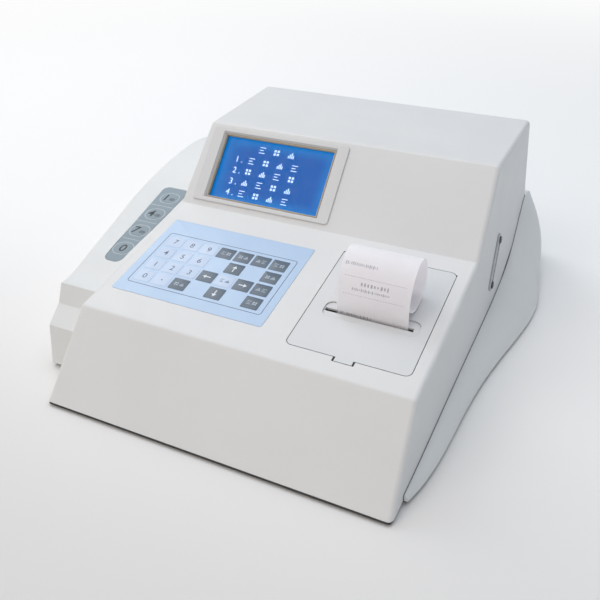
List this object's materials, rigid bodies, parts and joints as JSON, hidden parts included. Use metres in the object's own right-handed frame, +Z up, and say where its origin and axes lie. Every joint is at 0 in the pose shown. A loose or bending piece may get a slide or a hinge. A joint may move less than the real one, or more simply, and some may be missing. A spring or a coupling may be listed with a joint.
{
  "type": "semi-automatic chemistry analyzer",
  "caption": "Bench-top semi-automatic chemistry analyzer with a sloped keypad deck, blue display, printer under a hinged lid, filter-wheel optics and a roller pump.",
  "frame": {"origin": "middle of the whole footprint on the bench", "axes": "+Z up, -Y towards the operator at the sloped keypad, +X towards the operator's right hand"},
  "size_m": [0.3955, 0.415, 0.148],
  "materials": {
    "shell_white": "fine moulded texture",
    "base_white": "fine moulded texture",
    "lid_white": "smooth moulded",
    "bezel_grey": "fine texture",
    "membrane": "printed film",
    "strip_film": "printed film",
    "display_blue": "lit liquid crystal",
    "clear_sheet": "polished",
    "steel_sheet": "powder coat",
    "steel_bright": "turned",
    "aluminium": "brushed",
    "brass": "machined",
    "black_plastic": "moulded",
    "gear_plastic": "moulded",
    "rubber": "ground",
    "clear_tube": "translucent",
    "board_green": "solder mask",
    "paper": "coated",
    "card": "plain",
    "ceramic": "fired",
    "glass": "polished"
  },
  "bodies": {
    "housing": {"base_shell": "base_white", "base_tray": "steel_sheet", "condenser_lens": "glass", "console_cover": "shell_white", "cover_screws": "steel_bright", "detector_board": "board_green", "display_bezel": "bezel_grey", "display_board": "board_green", "display_module": "display_blue", "display_window": "clear_sheet", "fan_frame": "black_plastic", "filter_motor": "steel_bright", "flow_cell": "glass", "flow_cell_block": "aluminium", "halogen_lamp": "glass", "idler_pin": "steel_bright", "keypad_overlay": "membrane", "lamp_house": "aluminium", "lens_tube": "black_plastic", "main_board": "board_green", "optical_bench": "aluminium", "paper_web": "paper", "power_inlet": "black_plastic", "power_switch_body": "black_plastic", "print_head": "aluminium", "print_motor": "steel_bright", "printer_chassis": "black_plastic", "printer_tub": "black_plastic", "pump_housing": "gear_plastic", "pump_motor": "steel_bright", "pump_tube": "clear_tube", "rear_panel": "aluminium", "rubber_feet": "rubber", "serial_port": "steel_bright", "side_clip": "bezel_grey", "side_clip_screws": "steel_bright", "side_keypad_overlay": "strip_film", "supply_board": "board_green", "supply_frame": "aluminium"},
    "lid": {"printer_lid": "lid_white", "lid_hinge_pins": "steel_bright", "platen_bushes": "brass", "paper_slip": "paper"},
    "platen": {"platen_axle": "steel_bright", "platen_rubber": "rubber", "platen_gear": "gear_plastic"},
    "idler": {"idler_gear": "gear_plastic"},
    "pinion": {"motor_pinion": "brass"},
    "roll": {"paper_spindle": "black_plastic", "paper_core": "card", "paper_roll": "paper"},
    "wheel": {"filter_wheel": "aluminium", "interference_filters": "glass", "filter_shaft": "steel_bright"},
    "pump_rotor_body": {"pump_rotor": "black_plastic"},
    "pump_roller_1_body": {"pump_roller_1": "steel_bright"},
    "pump_roller_2_body": {"pump_roller_2": "steel_bright"},
    "pump_roller_3_body": {"pump_roller_3": "steel_bright"},
    "fan": {"fan_rotor": "black_plastic"},
    "rocker": {"power_rocker": "black_plastic"}
  },
  "joints": [
    {"name": "lid_hinge", "type": "hinge", "parent": "housing", "child": "lid", "pos_m": [0.09251, -0.01987, 0.0833], "axis": [-1, 0, 0], "range_deg": [0, 90]},
    {"name": "platen_spin", "type": "hinge", "parent": "lid", "child": "platen", "pos_m": [0.09481, -0.09162, 0.06237], "axis": [1, 0, 0], "continuous": true},
    {"name": "roll_spin", "type": "hinge", "parent": "housing", "child": "roll", "pos_m": [0.09481, -0.04564, 0.04473], "axis": [1, 0, 0], "continuous": true},
    {"name": "idler_spin", "type": "hinge", "parent": "housing", "child": "idler", "pos_m": [0.05661, -0.08826, 0.05085], "axis": [1, 0, 0], "continuous": true},
    {"name": "pinion_spin", "type": "hinge", "parent": "housing", "child": "pinion", "pos_m": [0.05661, -0.09776, 0.04948], "axis": [1, 0, 0], "continuous": true},
    {"name": "filter_wheel_spin", "type": "hinge", "parent": "housing", "child": "wheel", "pos_m": [-0.06219, 0.11298, 0.062], "axis": [1, 0, 0], "continuous": true},
    {"name": "pump_rotor_spin", "type": "hinge", "parent": "housing", "child": "pump_rotor_body", "pos_m": [0.03381, 0.11598, 0.062], "axis": [0, 0, 1], "continuous": true},
    {"name": "fan_spin", "type": "hinge", "parent": "housing", "child": "fan", "pos_m": [0.09381, 0.17228, 0.11], "axis": [0, 1, 0], "continuous": true},
    {"name": "rocker_hinge", "type": "hinge", "parent": "housing", "child": "rocker", "pos_m": [0.08581, 0.20238, 0.037], "axis": [1, 0, 0], "range_deg": [0, 20]},
    {"name": "pump_roller_1_spin", "type": "hinge", "parent": "pump_rotor_body", "child": "pump_roller_1_body", "pos_m": [0.03381, 0.12798, 0.062], "axis": [0, 0, 1], "continuous": true},
    {"name": "pump_roller_2_spin", "type": "hinge", "parent": "pump_rotor_body", "child": "pump_roller_2_body", "pos_m": [0.02341, 0.10998, 0.062], "axis": [0, 0, 1], "continuous": true},
    {"name": "pump_roller_3_spin", "type": "hinge", "parent": "pump_rotor_body", "child": "pump_roller_3_body", "pos_m": [0.0442, 0.10998, 0.062], "axis": [0, 0, 1], "continuous": true}
  ],
  "couplings": [
    {"joint": "platen_spin", "follows": "roll_spin", "ratio": -4.2308},
    {"joint": "idler_spin", "follows": "roll_spin", "ratio": 4.2308},
    {"joint": "pinion_spin", "follows": "roll_spin", "ratio": -7.0513},
    {"joint": "pump_roller_1_spin", "follows": "pump_rotor_spin", "ratio": -3.551},
    {"joint": "pump_roller_2_spin", "follows": "pump_rotor_spin", "ratio": -3.551},
    {"joint": "pump_roller_3_spin", "follows": "pump_rotor_spin", "ratio": -3.551}
  ]
}
